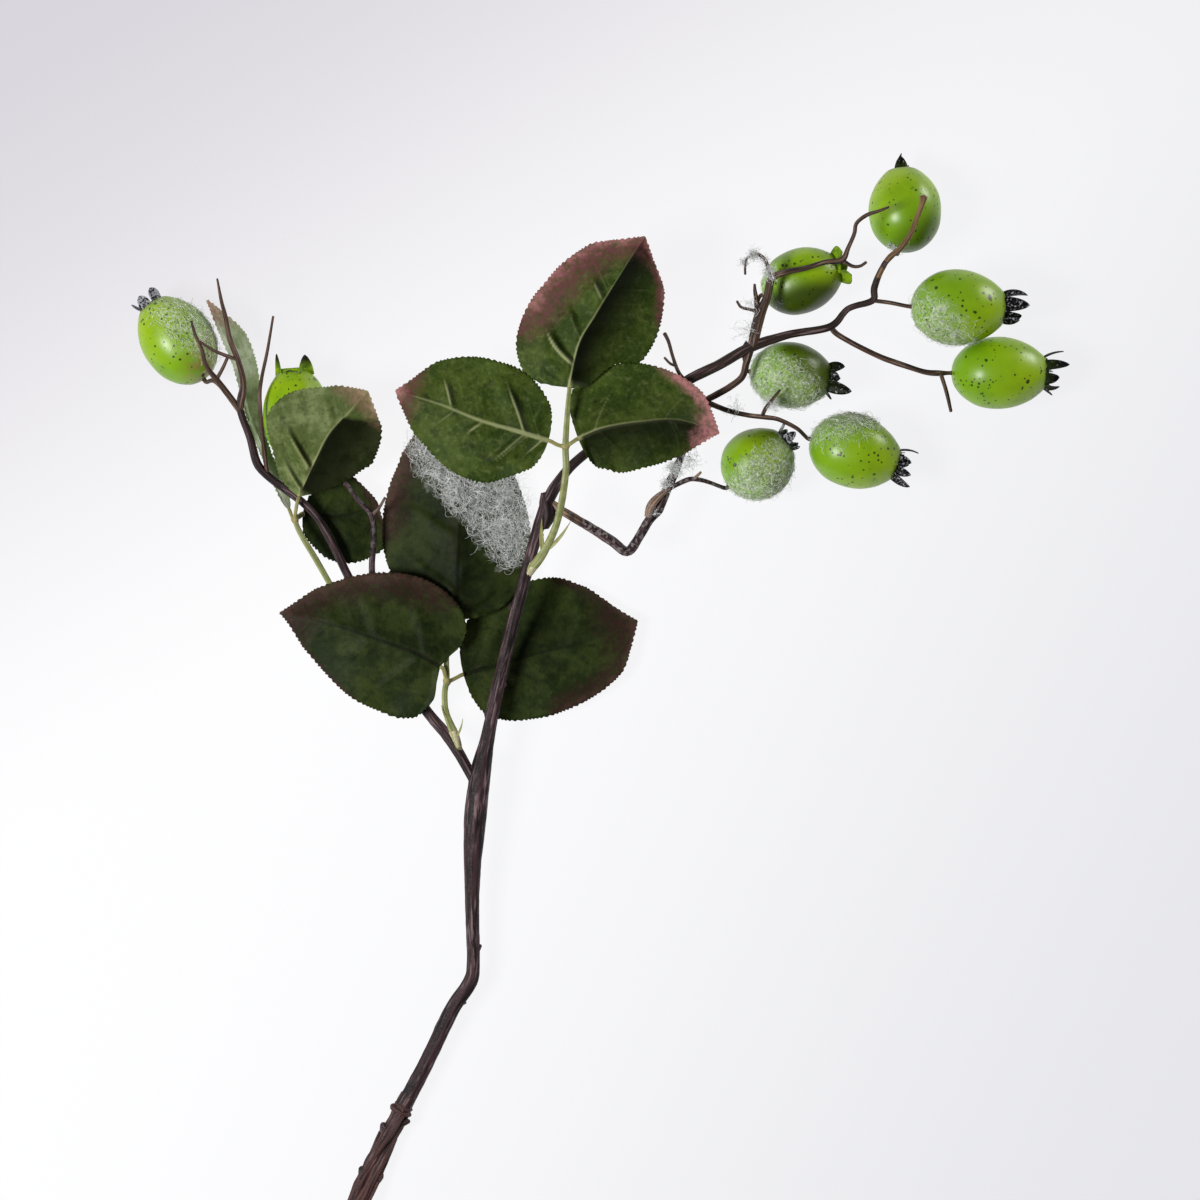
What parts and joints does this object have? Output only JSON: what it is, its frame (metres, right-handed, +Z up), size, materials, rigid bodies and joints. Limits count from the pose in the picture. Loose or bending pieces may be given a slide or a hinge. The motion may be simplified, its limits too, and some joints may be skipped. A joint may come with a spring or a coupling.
{
  "type": "rose hip sprig",
  "caption": "Cut sprig of rose hips lying flat: a forked woody stem with serrated compound leaves and green hips on thin twigs.",
  "frame": {"origin": "centre of the bounding box in X and Y, on the surface that the sprig lies on", "axes": "+Y from the cut end of the stem to the tips, +X to the side of the fruiting branch, +Z up, away from the surface"},
  "size_m": [0.236, 0.2729, 0.0314],
  "materials": {
    "bark": "dark purple brown bark, fine fibres along it, slight sheen",
    "twig_bark": "thin grey brown bark, matt",
    "green_stalk": "yellow green, smooth, satin",
    "leaf_green": "matt green with pale veins and a pink to brown margin",
    "hip_skin": "smooth yellow green skin with dark specks, satin",
    "sepal_brown": "dried, near black brown, matt"
  },
  "bodies": {
    "root": {"main_stem": "bark", "left_branch": "bark", "inner_twig": "twig_bark", "right_spur": "twig_bark", "upright_twig": "twig_bark", "lower_twig": "twig_bark", "end_twig": "twig_bark", "bare_twig": "twig_bark", "hip_stalk_2": "twig_bark", "hip_stalk_4": "twig_bark", "hip_stalk_5": "twig_bark", "hip_stalk_7": "twig_bark", "upper_leaf_stalk": "green_stalk", "lower_leaf_stalk": "green_stalk", "side_leaf_stalk": "green_stalk", "upper_leaflet_tip": "leaf_green", "upper_leaflet_left": "leaf_green", "upper_leaflet_right": "leaf_green", "lower_leaflet_tip": "leaf_green", "lower_leaflet_left": "leaf_green", "lower_leaflet_right": "leaf_green", "side_leaflet_folded": "leaf_green", "side_leaflet_back": "leaf_green", "side_leaflet_edge": "leaf_green", "hip_1": "hip_skin", "hip_2": "hip_skin", "hip_3": "hip_skin", "hip_4": "hip_skin", "hip_5": "hip_skin", "hip_6": "hip_skin", "hip_7": "hip_skin", "hip_8": "hip_skin", "hip_9": "hip_skin", "calyx_1": "sepal_brown", "calyx_2": "sepal_brown", "calyx_3": "sepal_brown", "calyx_4": "sepal_brown", "calyx_5": "sepal_brown", "calyx_6": "sepal_brown", "calyx_7": "sepal_brown", "calyx_8": "sepal_brown", "calyx_9": "sepal_brown"}
  },
  "joints": []
}
